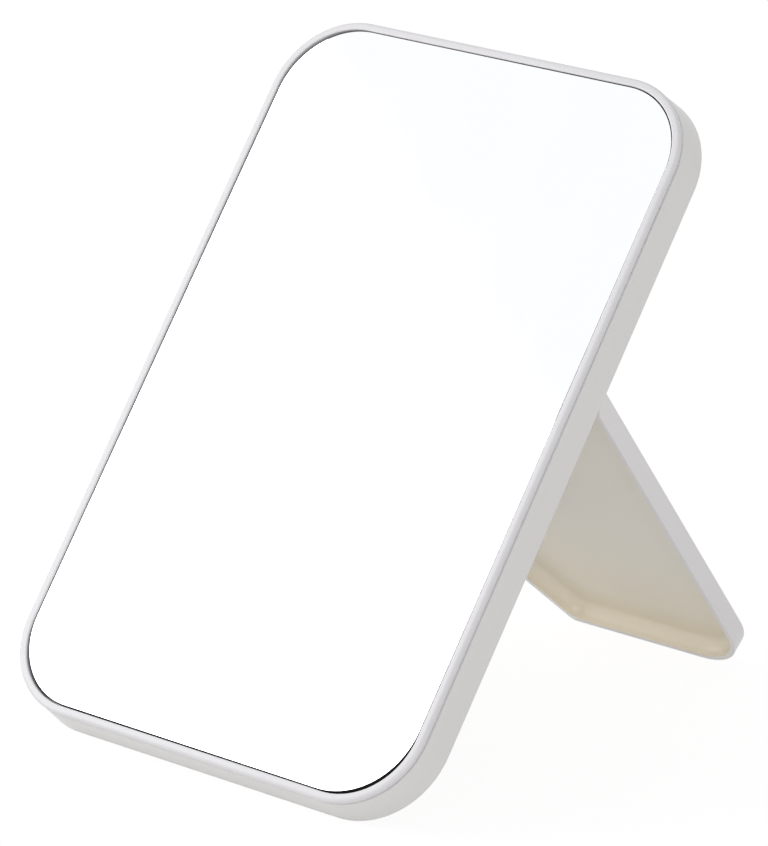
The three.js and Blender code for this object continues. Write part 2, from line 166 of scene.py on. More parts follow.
room_seen = add_node(sky, "ShaderNodeBackground", {"Color": room_white, "Strength": 1.0})
room_light = add_node(sky, "ShaderNodeBackground", {"Color": room_white, "Strength": ambient_light})
room = add_node(
    sky,
    "ShaderNodeMixShader",
    {},
    {0: seen_directly(sky), 1: room_light.outputs[0], 2: room_seen.outputs[0]},
)
add_node(sky, "ShaderNodeOutputWorld", {}, {"Surface": room.outputs[0]})
print("room: white to the eye, ambient light at", ambient_light)

# %% [markdown]
# ## The floor
# The floor is a large sheet of white paper. It has to look as white as the room and still keep the soft
# shadow under the mirror. A brighter lamp would bleach the object too, so the floor adds a little light of
# its own, only for rays that are seen directly, and its own colour carries the shadow.

# %% Floor
floor_side = 30.0
floor_bounce = linear("ebeae8")
floor_seen_colour = [0.16, 0.16, 0.16, 1.0]
floor_glow = 0.9

bpy.ops.mesh.primitive_plane_add(size=floor_side)
floor = bpy.context.object
floor.name = "paper_floor"
paper = bpy.data.materials.new("white_paper")
paper.use_nodes = True
nodes = paper.node_tree
nodes.nodes.clear()
floor_seen = seen_directly(nodes)
paper_colour = add_node(
    nodes,
    "ShaderNodeMix",
    {"data_type": "RGBA", 6: floor_bounce, 7: floor_seen_colour},
    {0: floor_seen},
)
paper_face = add_node(nodes, "ShaderNodeBsdfDiffuse", {}, {"Color": paper_colour.outputs[2]})
glow_strength = add_node(nodes, "ShaderNodeMath", {"operation": "MULTIPLY", 1: floor_glow}, {0: floor_seen})
glow = add_node(nodes, "ShaderNodeEmission", {"Color": room_white}, {"Strength": glow_strength.outputs[0]})
paper_sum = add_node(nodes, "ShaderNodeAddShader", {}, {0: paper_face.outputs[0], 1: glow.outputs[0]})
add_node(nodes, "ShaderNodeOutputMaterial", {}, {"Surface": paper_sum.outputs[0]})
floor.data.materials.append(paper)
print("floor:", floor_side, "m square")

# %% [markdown]
# ## The lamps
# In the photograph the top and left faces are almost white and the right side and the underside are light
# grey, so the main light comes from the left. A large soft square a few object lengths away gives the soft
# fall from face to face. A small or hard lamp would draw sharp shadows that the photograph doesn't have. A
# second, weaker square stands low in front on the right, like a white board beside the table, and opens up
# the leg's inside.

# %% Lamps
lamp_aim = Vector((0, 0, 0.1))


def soft_square(name, side, distance, direction, power):
    """A square area lamp that faces the object from a direction."""
    data = bpy.data.lights.new(name, "AREA")
    data.size = side
    data.energy = power
    lamp = bpy.data.objects.new(name, data)
    bpy.context.scene.collection.objects.link(lamp)
    towards = Vector(direction).normalized()
    lamp.location = lamp_aim + towards * distance
    lamp.rotation_euler = towards.to_track_quat("Z", "Y").to_euler()
    print(name, "of", power, "W at", [round(c, 3) for c in lamp.location])


soft_square("main_light", side=1.6, distance=2.2, direction=(-0.85, -0.50, 0.45), power=19.5)
soft_square("side_light", side=1.2, distance=2.6, direction=(0.66, -0.74, 0.22), power=12.5)
bpy.context.scene.view_settings.view_transform = "Standard"

# %% [markdown]
# ## White moulded ABS
# The casing and the bezel are injection-moulded ABS in a warm white. The steel mould was spark-eroded to a
# fine satin grain, so the surface is not glossy and hides the flow of the plastic. The eye sees a soft, wide
# sheen and a very faint unevenness. The bezel's mould was polished a little finer, so it is glossier. The
# grain is about 0.15 mm on the real part. It is drawn at 0.5 mm, because finer grain is smaller than a pixel
# of the picture. The leg's inside is painted a brighter, warmer cream than its outside, warmest towards the
# foot: this is painted warm bounce light in the hollow.

# %% Moulded plastic
abs_ior = 1.53
abs_roughness, bezel_roughness = 0.34, 0.26
more_polish, less_polish = 0.04, 0.05
cloud_size = 40 * MM
grain_size, grain_relief, grain_strength = 0.5 * MM, 0.012 * MM, 0.35
# heights at which the painted warm bounce light in the leg's hollow starts and is full
painted_bounce_from, painted_bounce_full = 50 * MM, 8 * MM


def moulded_plastic(name, colour, deep_colour, painted_bounce_colour=None, roughness=abs_roughness):
    """Injection-moulded ABS: two close tints in wide clouds, a satin grain and a slightly uneven polish.

    A painted bounce colour is painted warm bounce light, which the tint turns to towards the floor.
    """
    material, tree, place = start_material(name)
    clouds, tint = patchy_tint(tree, place, colour, deep_colour, cloud_size, 3.0)
    # painted warm bounce light: towards the floor the tint turns to the painted bounce colour
    if painted_bounce_colour:
        height = add_node(tree, "ShaderNodeSeparateXYZ", {}, {"Vector": place})
        painted_bounce_share = add_node(
            tree,
            "ShaderNodeMapRange",
            {"From Min": painted_bounce_from, "From Max": painted_bounce_full, "To Min": 0.0, "To Max": 1.0},
            {"Value": height.outputs["Z"]},
        )
        painted_bounce_tint = {"data_type": "RGBA", 7: linear(painted_bounce_colour)}
        tint = add_node(tree, "ShaderNodeMix", painted_bounce_tint, {0: painted_bounce_share.outputs[0], 6: tint}).outputs[2]
    grain = add_node(tree, "ShaderNodeTexNoise", {"Scale": 1 / grain_size, "Detail": 2.0}, {"Vector": place})
    polish = add_node(
        tree,
        "ShaderNodeMapRange",
        {
            "From Min": 0.3,
            "From Max": 0.7,
            "To Min": roughness - more_polish,
            "To Max": roughness + less_polish,
        },
        {"Value": clouds},
    )
    relief = add_node(
        tree,
        "ShaderNodeBump",
        {"Strength": grain_strength, "Distance": grain_relief},
        {"Height": grain.outputs[0]},
    )
    surface = add_node(
        tree,
        "ShaderNodeBsdfPrincipled",
        {"IOR": abs_ior},
        {"Base Color": tint, "Roughness": polish.outputs[0], "Normal": relief.outputs[0]},
    )
    add_node(tree, "ShaderNodeOutputMaterial", {}, {"Surface": surface.outputs[0]})
    return material


casing_white = moulded_plastic("moulded_white_abs", "eeedec", "e9e8e7")
bezel_white = moulded_plastic("moulded_white_abs_bezel", "e9e7eb", "e5e4e7", roughness=bezel_roughness)
leg_white = moulded_plastic("moulded_white_abs_leg", "f1eff0", "edebec")
# the leg's hollow: a brighter, warmer copy of the leg's white plastic, warmer still towards the foot, all
# painted warm bounce light
leg_inside_painted_bounce = moulded_plastic("moulded_abs_leg_inside_painted_bounce", "f6f2e8", "f3eee2", "f3ead7")
print("plastics:", casing_white.name, bezel_white.name, leg_white.name, leg_inside_painted_bounce.name)

# %% [markdown]
# ## Silvered glass
# The mirror is clear float glass with a silver layer and grey sealing paint on its back. Seen from the front
# it is all silver: the glass only adds a slight cool tint. The cut edge is sealed with a black paint against
# damp, and the back is painted grey. The front is a smooth metal with faint wipe marks in its gloss.

# %% Silvered glass
silver_roughness, wiped_roughness = 0.015, 0.036
mark_size, mark_stretch = 25 * MM, (1.0, 0.4, 0.4)


def silvered_glass(name):
    """A polished silver face with very faint wipe marks."""
    material, tree, place = start_material(name)
    wiped = add_node(tree, "ShaderNodeMapping", {"Scale": mark_stretch}, {"Vector": place})
    marks = add_node(
        tree,
        "ShaderNodeTexNoise",
        {"Scale": 1 / mark_size, "Detail": 4.0},
        {"Vector": wiped.outputs[0]},
    )
    gloss = add_node(
        tree,
        "ShaderNodeMapRange",
        {"From Min": 0.35, "From Max": 0.75, "To Min": silver_roughness, "To Max": wiped_roughness},
        {"Value": marks.outputs[0]},
    )
    tint = add_node(
        tree,
        "ShaderNodeMix",
        {"data_type": "RGBA", 6: linear("fbfdff"), 7: linear("fefeff")},
        {0: marks.outputs[0]},
    )
    surface = add_node(
        tree,
        "ShaderNodeBsdfPrincipled",
        {"Metallic": 1.0},
        {"Base Color": tint.outputs[2], "Roughness": gloss.outputs[0]},
    )
    add_node(tree, "ShaderNodeOutputMaterial", {}, {"Surface": surface.outputs[0]})
    return material


coat_strength = 0.6


def matt_coat(name, colour, deep_colour, roughness, patch_size, relief_depth=0.02 * MM):
    """A matt, finely uneven coat or cut surface, such as ground glass, sealing paint or foam."""
    material, tree, place = start_material(name)
    patches, tint = patchy_tint(tree, place, colour, deep_colour, patch_size, 5.0)
    relief = add_node(
        tree,
        "ShaderNodeBump",
        {"Strength": coat_strength, "Distance": relief_depth},
        {"Height": patches},
    )
    surface = add_node(
        tree,
        "ShaderNodeBsdfPrincipled",
        {"Roughness": roughness},
        {"Base Color": tint, "Normal": relief.outputs[0]},
    )
    add_node(tree, "ShaderNodeOutputMaterial", {}, {"Surface": surface.outputs[0]})
    return material


mirror_silver = silvered_glass("silvered_float_glass")
sealed_edge = matt_coat("black_edge_sealing_paint", "161717", "0f1010", 0.75, patch_size=0.8 * MM)
sealing_paint = matt_coat("grey_sealing_paint", "55595a", "494c4d", 0.55, patch_size=1.5 * MM)
foam_tape = matt_coat("closed_cell_foam_tape", "6f7073", "5a5b5e", 0.95, 0.7 * MM, relief_depth=0.15 * MM)
print("glass:", mirror_silver.name, sealed_edge.name, sealing_paint.name)

# %% [markdown]
# ## Plated and spring steel
# The hinge's brackets, pins and screws are zinc-plated steel, which is bright grey with a faint blue tinge
# from its passivation. The washers and clips are bare spring steel, darker and a little smoother. Both are
# metals, so their colour is the colour of their reflection.

# %% Steels
polish_swing = 0.07


def bare_metal(name, colour, deep_colour, roughness, patch_size):
    """A metal with two close tints in patches and a slightly uneven polish."""
    material, tree, place = start_material(name)
    patches, tint = patchy_tint(tree, place, colour, deep_colour, patch_size, 4.0)
    polish = add_node(
        tree,
        "ShaderNodeMapRange",
        {
            "From Min": 0.3,
            "From Max": 0.7,
            "To Min": roughness - polish_swing,
            "To Max": roughness + polish_swing,
        },
        {"Value": patches},
    )
    surface = add_node(
        tree,
        "ShaderNodeBsdfPrincipled",
        {"Metallic": 1.0},
        {"Base Color": tint, "Roughness": polish.outputs[0]},
    )
    add_node(tree, "ShaderNodeOutputMaterial", {}, {"Surface": surface.outputs[0]})
    return material


zinc_plate = bare_metal("zinc_plated_steel", "bfc4ca", "a9adb2", 0.35, patch_size=1.2 * MM)
spring_steel = bare_metal("bare_spring_steel", "9a9da1", "84878b", 0.28, patch_size=1.0 * MM)
print("steels:", zinc_plate.name, spring_steel.name)

# %% [markdown]
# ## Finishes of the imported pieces
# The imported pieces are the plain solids. The new pieces take their places in the picture, but each packed
# one still gets the finish of its own material, so that it looks right wherever it is shown.

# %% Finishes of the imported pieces
finish_of = {  # by the first words of a piece's name
    "front_bezel": bezel_white,
    "mirror_glass": mirror_silver,
    "rear_casing": casing_white,
    "stand_leg": leg_white,
    "foam_strip": foam_tape,
    "wear_washer": spring_steel,
    "wave_washer": spring_steel,
    "pin_clip": spring_steel,
    "hinge": zinc_plate,
    "bracket_screw": zinc_plate,
}
for name, piece in frame["nodes"].items():
    finish = next(look for start, look in finish_of.items() if name.startswith(start))
    piece.data.materials.clear()
    piece.data.materials.append(finish)
print("finished", len(frame["nodes"]), "packed pieces")

# %% [markdown]
# ## Modelling in the panel's own directions
# The casing is easiest to draw while the panel stands upright: x across it, y from its front face to the
# rear, z up it from its bottom edge. Each piece is modelled there and then leaned back in one move, which is
# written into its mesh, so that its object stays at the origin. The leg is drawn the same way around the
# hinge's axis.

# %% Sizes and places of the two bodies
panel_tilt = math.radians(38.191424)
leg_open = math.radians(78)
panel_width, panel_height, panel_depth = 160 * MM, 250 * MM, 15 * MM
hinge_height, hinge_setback = 147 * MM, 2.9 * MM
gap = 0.3 * MM

lean_of_panel = Matrix.Rotation(-panel_tilt, 3, "X")
panel_place = hinge_axis - lean_of_panel @ Vector((0, panel_depth + hinge_setback, hinge_height))
leg_turn = leg_open - panel_tilt
print("the panel's lower front edge is at", [round(c, 5) for c in panel_place])

# %% Selecting pieces and parts of a mesh


def select(*pieces):
    """Select these pieces alone, the first one as the active one."""
    bpy.ops.object.select_all(action="DESELECT")
    for piece in pieces:
        piece.select_set(True)
    bpy.context.view_layer.objects.active = pieces[0]


def edit_mesh():
    """Open the active piece's mesh for editing."""
    bpy.ops.object.mode_set(mode="EDIT")


def leave_mesh():
    """Close the mesh again and work with whole pieces."""
    bpy.ops.object.mode_set(mode="OBJECT")


def pick(kind, test):
    """In edit mode, select the faces, edges or vertices whose place and direction pass a test."""
    mesh = bpy.context.object.data
    bpy.ops.mesh.select_mode(type=kind)
    bpy.ops.mesh.select_all(action="DESELECT")
    shape = bmesh.from_edit_mesh(mesh)
    shape.normal_update()
    if kind == "FACE":
        found = [face for face in shape.faces if test(face.calc_center_median(), face.normal)]
    elif kind == "EDGE":
        ends = [(edge, edge.verts[0].co, edge.verts[1].co) for edge in shape.edges]
        found = [edge for edge, start, end in ends if test((start + end) / 2, end - start)]
    else:
        found = [corner for corner in shape.verts if test(corner.co, corner.normal)]
    for part in found:
        part.select_set(True)
    shape.select_flush_mode()
    bmesh.update_edit_mesh(mesh)
    return len(found)


def at(value, wanted, slack=0.02 * MM):
    """Whether a length is the wanted one."""
    return abs(value - wanted) < slack


def pick_all():
    """Select the whole mesh."""
    bpy.ops.mesh.select_all(action="SELECT")


def pick_edges_at(y):
    """Select the edges that lie flat at a depth."""
    pick("EDGE", lambda middle, along: at(middle.y, y) and at(along.y, 0))


straight = 0.99  # of a normal's length lies along an axis, for a face that looks straight along it

# %% Extruding, welding and plain blocks


def extrude(x=0.0, y=0.0, z=0.0):
    """Extrude what is selected by a length in each direction."""
    bpy.ops.mesh.extrude_region_move(TRANSFORM_OT_translate={"value": (x, y, z)})


weld_distance = 0.001 * MM


def make_faces_point_out():
    """Merge doubles, then turn every face outwards."""
    pick_all()
    bpy.ops.mesh.remove_doubles(threshold=weld_distance)
    bpy.ops.mesh.normals_make_consistent(inside=False)


def settle():
    """Write the selected pieces' place, turn and scale into their meshes."""
    bpy.ops.object.transform_apply(location=True, rotation=True, scale=True)


def block(x0, x1, y0, y1, z0, z1):
    """A plain block between three pairs of limits, for cutting or joining."""
    bpy.ops.mesh.primitive_cube_add(size=1, location=((x0 + x1) / 2, (y0 + y1) / 2, (z0 + z1) / 2))
    made = bpy.context.object
    made.scale = (x1 - x0, y1 - y0, z1 - z0)
    settle()
    return made


def own_copy(piece):
    """A copy of a piece with a mesh of its own."""
    copy = piece.copy()
    copy.data = piece.data.copy()
    bpy.context.scene.collection.objects.link(copy)
    return copy


# %% Joining, cutting and cleaning up
merge_distance = 0.003 * MM
flat_enough = math.radians(0.5)


def apply_modifier(piece, kind, **settings):
    """Add a modifier with its settings and apply it."""
    select(piece)
    modifier = piece.modifiers.new(kind.lower(), kind)
    for name, value in settings.items():
        setattr(modifier, name, value)
    bpy.ops.object.modifier_apply(modifier=modifier.name)


def combine(piece, others, operation):
    """Join solids to a piece, or cut them from it, and delete them."""
    select(*others)
    if len(others) > 1:
        bpy.ops.object.join()
    tool = others[0]
    apply_modifier(piece, "BOOLEAN", object=tool, operation=operation, solver="EXACT", use_self=True)
    bpy.data.objects.remove(tool)


def clean_up(piece):
    """Merge doubled corners, drop needless edges inside flat faces and turn every face outwards."""
    select(piece)
    edit_mesh()
    pick_all()
    bpy.ops.mesh.remove_doubles(threshold=merge_distance)
    bpy.ops.mesh.dissolve_limited(angle_limit=flat_enough)
    bpy.ops.mesh.normals_make_consistent(inside=False)
    leave_mesh()


# %% Shading, finishes and places


def smooth_piece(piece, angle=32):
    """Shade round surfaces smooth and keep flat faces flat up to their edges."""
    select(piece)
    bpy.ops.object.shade_smooth_by_angle(angle=math.radians(angle))
    apply_modifier(piece, "WEIGHTED_NORMAL", keep_sharp=True, weight=100)


def set_finishes(piece, *finishes):
    """Give a piece its materials, the first one for all faces."""
    piece.data.materials.clear()
    for finish in finishes:
        piece.data.materials.append(finish)
    for face in piece.data.polygons:
        face.material_index = 0


def put_in_place(piece, name, body, slot, *nodes, turn=-panel_tilt, place=panel_place):
    """Lean the piece into place, write that into its mesh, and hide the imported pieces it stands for."""
    select(piece)
    piece.name = name
    piece.data.name = name
    piece.rotation_euler = (turn, 0, 0)
    piece.location = place
    settle()
    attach(piece, body)
    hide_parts(*nodes)
    size = [round(side / MM, 1) for side in piece.dimensions]
    print(name, "has", len(piece.data.polygons), "faces and measures", size, "mm")


# %% [markdown]
# ## Round-cornered sheets
# The bezel, the glass and the casing share one outline: a rectangle with round corners. Each starts as a
# flat plane whose four corner points are bevelled. A curve could give the same outline, but a plane stays
# one face, which inset and extrude can then build on. To find an edge again later, its distance inside the
# outline is measured.

# %% Outline of the panel
corner_radius = 27.5 * MM
corner_segments = 24
near_outline = 0.1 * MM
quarter_turn = math.radians(90)


def inset_from_outline(point):
    """How far a point lies inside the panel's outline."""
    half_width = panel_width / 2 - corner_radius
    half_height = panel_height / 2 - corner_radius
    across = abs(point.x) - half_width
    up = abs(point.z - panel_height / 2) - half_height
    beyond = math.hypot(max(across, 0), max(up, 0)) + min(max(across, up), 0)
    return corner_radius - beyond


def plain_sheet(y, spread=0.0):
    """A flat sheet as large as the panel, spread by a length, in edit mode, facing the front."""
    middle = (0, y, panel_height / 2)
    bpy.ops.mesh.primitive_plane_add(size=1, location=middle, rotation=(quarter_turn, 0, 0))
    sheet = bpy.context.object
    sheet.scale = (panel_width + 2 * spread, panel_height + 2 * spread, 1)
    settle()
    edit_mesh()
    pick_all()
    return sheet


def round_sheet(y, spread=0.0):
    """A flat sheet with the panel's round-cornered outline, spread by a length, in edit mode."""
    sheet = plain_sheet(y, spread)
    bpy.ops.mesh.bevel(offset=corner_radius + spread, segments=corner_segments, affect="VERTICES")
    return sheet


def pick_loop(y, inset):
    """Select the loop of edges at a depth and an inset."""
    return pick(
        "EDGE",
        lambda middle, along: at(middle.y, y)
        and at(along.y, 0)
        and at(inset_from_outline(middle), inset, near_outline),
    )


def pick_cap(y, side):
    """Select the largest face at a depth that looks to the front (side -1) or the rear (side 1)."""
    pick("FACE", lambda middle, normal: at(middle.y, y) and normal.y * side > straight)
    shape = bmesh.from_edit_mesh(bpy.context.object.data)
    chosen = [face for face in shape.faces if face.select]
    largest = max(chosen, key=lambda face: face.calc_area())
    for face in chosen:
        face.select_set(face is largest)
    bmesh.update_edit_mesh(bpy.context.object.data)


def bevel_edges(offset, steps=2):
    """Round the selected edges in a few steps, or cut them off straight in one."""
    bpy.ops.mesh.bevel(offset=offset, segments=steps, affect="EDGES", loop_slide=False)


print("outline:", panel_width / MM, "by", panel_height / MM, "mm, corner radius", corner_radius / MM)

# %% [markdown]
# ## The front bezel
# The bezel is the slim ring round the glass. On the real mirror it is moulded with a crowned face that rolls
# over into the casing's side, and a fine seam shows where it meets the rear casing. Behind the ring are
# parts that nobody sees: a ledge on which the glass is taped, a skirt that slips into the casing, and ten
# snap hooks. A curve with a bevel profile would give the ring in one go. Insets and extrusions from one
# sheet also give the ledge and the skirt as one closed skin.

# %% Bezel ring
bezel_face = 2.8 * MM
bezel_depth = 2.4 * MM
crown_radius = 1.2 * MM
opening_radius = 0.5 * MM
bezel_rear_radius = 1.0 * MM
seam_width = 0.5 * MM

bezel = round_sheet(0)
extrude(y=bezel_depth)
make_faces_point_out()
print("edges round the front:", pick_loop(0, 0))
bevel_edges(crown_radius, steps=10)
pick_cap(0, -1)
bpy.ops.mesh.inset(thickness=bezel_face - crown_radius)

# %% Skirt and ledge behind the ring
skirt_inset = 1.1 * MM
skirt_depth = 7 * MM
ledge_front, ledge_back = 4.9 * MM, 6.3 * MM
ledge_width = 13 * MM

pick_cap(bezel_depth, 1)
bpy.ops.mesh.inset(thickness=skirt_inset)
extrude(y=skirt_depth - bezel_depth)
bpy.ops.mesh.inset(thickness=bezel_face - skirt_inset)
extrude(y=ledge_back - skirt_depth)
bpy.ops.mesh.inset(thickness=ledge_width)
bpy.ops.mesh.delete(type="FACE")
pick_cap(0, -1)
extrude(y=ledge_front)
bpy.ops.mesh.inset(thickness=ledge_width)
bpy.ops.mesh.delete(type="FACE")
ledge_inset = bezel_face + ledge_width
pick(
    "EDGE",
    lambda middle, along: at(inset_from_outline(middle), ledge_inset, near_outline)
    and at(along.y, 0)
    and middle.y > ledge_front / 2,
)
bpy.ops.mesh.bridge_edge_loops()
make_faces_point_out()

# %% Small edges of the ring
pick_loop(0, bezel_face)
bevel_edges(opening_radius, steps=6)
pick_loop(bezel_depth, 0)
bevel_edges(bezel_rear_radius, steps=5)
leave_mesh()
print("bezel ring:", len(bezel.data.polygons), "faces")

# %% [markdown]
# ## Snap hooks
# Ten hooks hold the bezel in the casing without a screw. One is modelled at the bottom edge, where the
# distance from the outline is simply its height, and then copied and turned to the four sides. Its barb is
# extruded from the tip and its leading edge is slanted, as a real barb is, so that it slides in.

# %% One hook
hook_inset, hook_thickness, hook_width = 2.2 * MM, 1 * MM, 8 * MM
hook_edge = 0.15 * MM
hook_end = 10.6 * MM
barb_reach, barb_height = 0.8 * MM, 0.9 * MM
hook_start = ledge_back - gap

hook_top = hook_inset + hook_thickness
hook = block(-hook_width / 2, hook_width / 2, hook_start, hook_end, hook_inset, hook_top)
edit_mesh()
pick_all()
bpy.ops.mesh.bisect(plane_co=(0, hook_end - barb_height, 0), plane_no=(0, 1, 0))
pick("FACE", lambda middle, normal: normal.z < -straight and middle.y > hook_end - barb_height)
extrude(z=-barb_reach)
pick("EDGE", lambda middle, along: at(middle.y, hook_end) and at(middle.z, hook_inset - barb_reach))
bevel_edges(barb_reach / 2, steps=1)
pick("EDGE", lambda middle, along: abs(along.y) > hook_thickness)
bevel_edges(hook_edge)
make_faces_point_out()
leave_mesh()

# %% Ten hooks
side_hook_pitch, end_hook_pitch = 72 * MM, 56 * MM
hook_places = []  # middle of the hook, turn about y in degrees
for step in (-1, 0, 1):
    height = panel_height / 2 + step * side_hook_pitch
    hook_places.append((Vector((panel_width / 2, 0, height)), -90))
    hook_places.append((Vector((-panel_width / 2, 0, height)), 90))
for step in (-0.5, 0.5):
    hook_places.append((Vector((step * end_hook_pitch, 0, 0)), 0))
    hook_places.append((Vector((step * end_hook_pitch, 0, panel_height)), 180))


def copies_at_hooks(model):
    """Copies of a piece that was modelled at the bottom edge, one at each hook's place."""
    made = []
    for place, turn in hook_places:
        copy = own_copy(model)
        copy.location = place
        copy.rotation_euler = (0, math.radians(turn), 0)
        made.append(copy)
    select(*made)
    settle()
    bpy.data.objects.remove(model)
    return made


combine(bezel, copies_at_hooks(hook), "UNION")
smooth_piece(bezel)
set_finishes(bezel, bezel_white)
put_in_place(bezel, "bezel_ring", "panel", "casing_plastic", "front_bezel")

# %% [markdown]
# ## The mirror glass
# The mirror is one pane of 3 mm float glass, cut with a third of a millimetre of play. Its corners are
# ground by hand, so they differ a little, and all are rounder than the bezel's. Its edge is sealed with
# black paint, so a fine dark line shows round the real mirror, widest at the corners. The line fades at the
# right side, because the tape caught the pane slightly to the right and up, and turned by a hair. Its front
# edge is ground to a narrow flat that takes the sharpness away. The back carries the silver and its grey
# paint. The glass could be a clear block with a metal sheet behind it, but at this size a polished metal
# front gives the same picture with less noise.

# %% Glass pane
glass_drop, glass_thickness = 0.5 * MM, 3 * MM
glass_play = 0.34 * MM
slid_right, slid_up = 0.17 * MM, 0.08 * MM
pane_turn = 0.0011  # radians, clockwise
glass_corner_radii = {  # by side, right or left, and by end, upper or lower
    (1, 1): 24.8 * MM,
    (1, -1): 26.5 * MM,
    (-1, 1): 26.0 * MM,
    (-1, -1): 25.3 * MM,
}
ground_flat = 0.12 * MM
glass_inset = bezel_face + glass_play
glass_back = glass_drop + glass_thickness

glass = plain_sheet(glass_drop, spread=-glass_inset)
for (side, end), radius in glass_corner_radii.items():
    pick("VERT", lambda corner, normal: corner.x * side > 0 and (corner.z - panel_height / 2) * end > 0)
    bpy.ops.mesh.bevel(offset=radius, segments=corner_segments, affect="VERTICES")
pick_all()
extrude(y=glass_thickness)
make_faces_point_out()
pick_edges_at(glass_drop)
bevel_edges(ground_flat)
pick_edges_at(glass_back)
bevel_edges(ground_flat, steps=1)
leave_mesh()
slid = Matrix.Translation((slid_right, 0, slid_up))
panel_middle = Matrix.Translation((0, 0, panel_height / 2))
glass.data.transform(panel_middle @ Matrix.Rotation(pane_turn, 4, "Y") @ panel_middle.inverted() @ slid)
smooth_piece(glass, angle=20)
set_finishes(glass, mirror_silver, sealed_edge, sealing_paint)
for face in glass.data.polygons:
    if face.normal.y > straight:
        face.material_index = 2
    elif face.normal.y > -straight:
        face.material_index = 1
put_in_place(glass, "mirror_pane", "panel", "silvered_glass", "mirror_glass")

# %% [markdown]
# ## The rear casing
# The rear half of the casing is a deep tray. Its sides spread a millimetre from the seam to the rear, so
# that the mould lets go, and its rear edge is softly rounded. It starts from the rear outline: one inset
# with a depth makes all four slanting sides at once. Then the inside is sunk in two steps, a rim that takes
# the bezel's skirt and the hollow itself.

# %% Casing shell
side_spread = 1 * MM
rear_radius = 0.8 * MM
casing_front_edge = 0.3 * MM
casing_front = bezel_depth + seam_width
rim_wall, casing_wall, casing_floor = 0.8 * MM, 1.9 * MM, 2 * MM
floor_front = panel_depth - casing_floor

casing = round_sheet(panel_depth, spread=side_spread)
extrude(y=-rear_radius)
make_faces_point_out()
pick_cap(panel_depth - rear_radius, -1)
bpy.ops.mesh.inset(thickness=side_spread, depth=panel_depth - rear_radius - casing_front)
bpy.ops.mesh.inset(thickness=rim_wall)
extrude(y=skirt_depth + gap - casing_front)
bpy.ops.mesh.inset(thickness=casing_wall - rim_wall)
extrude(y=floor_front - skirt_depth - gap)
pick_edges_at(panel_depth)
bevel_edges(rear_radius, steps=6)
pick_loop(casing_front, 0)
bevel_edges(casing_front_edge)
make_faces_point_out()
leave_mesh()
print("casing shell:", len(casing.data.polygons), "faces")

# %% [markdown]
# ## Ribs and bosses inside the casing
# A large thin moulding would bend, so ribs stand on its floor: a pair along each side behind the glass, two
# up the middle and three across. Four round bosses take the hinge's screws. Each rib is a bar with rounded
# top edges and each boss a plain round one, and booleans join them to the floor.

# %% Ribs
rib_thickness = 1.4 * MM
rib_top = ledge_back + gap
rib_edge = 0.2 * MM
pair_inset, pair_pitch = 10 * MM, 6 * MM
rib_clear_side, rib_clear_end = 20 * MM, 28 * MM
middle_rib_spacing, cross_rib_pitch = 48 * MM, 54 * MM


def rib(x0, x1, z0, z1):
    """An upright rib on the casing's floor, with rounded top edges."""
    bar = block(x0, x1, rib_top, floor_front + gap, z0, z1)
    edit_mesh()
    pick_edges_at(rib_top)
    bevel_edges(rib_edge)
    leave_mesh()
    return bar


ribs = []
half_rib = rib_thickness / 2
for step in (-0.5, 0.5):
    inset = pair_inset + step * pair_pitch
    side_x = panel_width / 2 - inset
    end_x = panel_width / 2 - rib_clear_end
    for side in (-1, 1):
        x = side * side_x
        ribs.append(rib(x - half_rib, x + half_rib, rib_clear_side, panel_height - rib_clear_side))
    for z in (inset, panel_height - inset):
        ribs.append(rib(-end_x, end_x, z - half_rib, z + half_rib))
    x = step * middle_rib_spacing
    ribs.append(rib(x - half_rib, x + half_rib, pair_inset, panel_height - pair_inset))
for step in (-1, 0, 1):
    z = panel_height / 2 + step * cross_rib_pitch
    reach = panel_width / 2 - pair_inset
    ribs.append(rib(-reach, reach, z - half_rib, z + half_rib))
print("ribs:", len(ribs))
combine(casing, ribs, "UNION")

# %% Bosses, their holes and the catches for the hooks
hinge_spacing = 100 * MM
lug_thickness, bracket_base = 1.6 * MM, 10 * MM
boss_radius, boss_height = 3 * MM, 5 * MM
screw_radius, screw_pitch = 1.1 * MM, 4.8 * MM
base_top = hinge_height - hinge_setback - gap
screw_x = hinge_spacing / 2 - lug_thickness / 2 - bracket_base / 2
screw_heights = [base_top - bracket_base / 2 + step * screw_pitch for step in (-0.5, 0.5)]
round_sides = 48


def round_bar(sides, radius, length, middle, turn):
    """A round bar of a length, turned about its middle."""
    bpy.ops.mesh.primitive_cylinder_add(
        vertices=sides,
        radius=radius,
        depth=length,
        location=middle,
        rotation=turn,
    )
    settle()
    return bpy.context.object


def bar_along_y(radius, y0, y1, x, z, sides=round_sides):
    """A round bar from one depth to another."""
    return round_bar(sides, radius, y1 - y0, (x, (y0 + y1) / 2, z), (quarter_turn, 0, 0))


bosses = []
holes = []
for x in (-screw_x, screw_x):
    for z in screw_heights:
        bosses.append(bar_along_y(boss_radius, floor_front - boss_height, floor_front + gap, x, z))
        holes.append(bar_along_y(screw_radius + gap, rib_top, panel_depth + gap, x, z))
combine(casing, bosses, "UNION")
combine(casing, holes, "DIFFERENCE")

catch_low, catch_high = hook_inset - barb_reach - gap, casing_wall + gap
catch_front, catch_rear = hook_end - barb_height - gap, hook_end + gap
half_catch = hook_width / 2 + gap
catch = block(-half_catch, half_catch, catch_front, catch_rear, catch_low, catch_high)
combine(casing, copies_at_hooks(catch), "DIFFERENCE")
smooth_piece(casing)
set_finishes(casing, casing_white)
put_in_place(casing, "casing_shell", "panel", "casing_plastic", "rear_casing")

# %% [markdown]
# ## The leg
# The leg is a shallow moulded tray, open towards the panel, with a slanted left side and a large round foot
# corner. Its top is rounded round the hinge's axis, up to the flat that meets the casing as a stop. It is
# drawn folded, around the hinge's axis, and then opened. A plane gets its four corners moved to their
# places, its corner points rounded and its depth extruded. The hollow is a second block of the same kind,
# cut from the first, with a wide fillet round its floor, so that no dark corner shows in it.

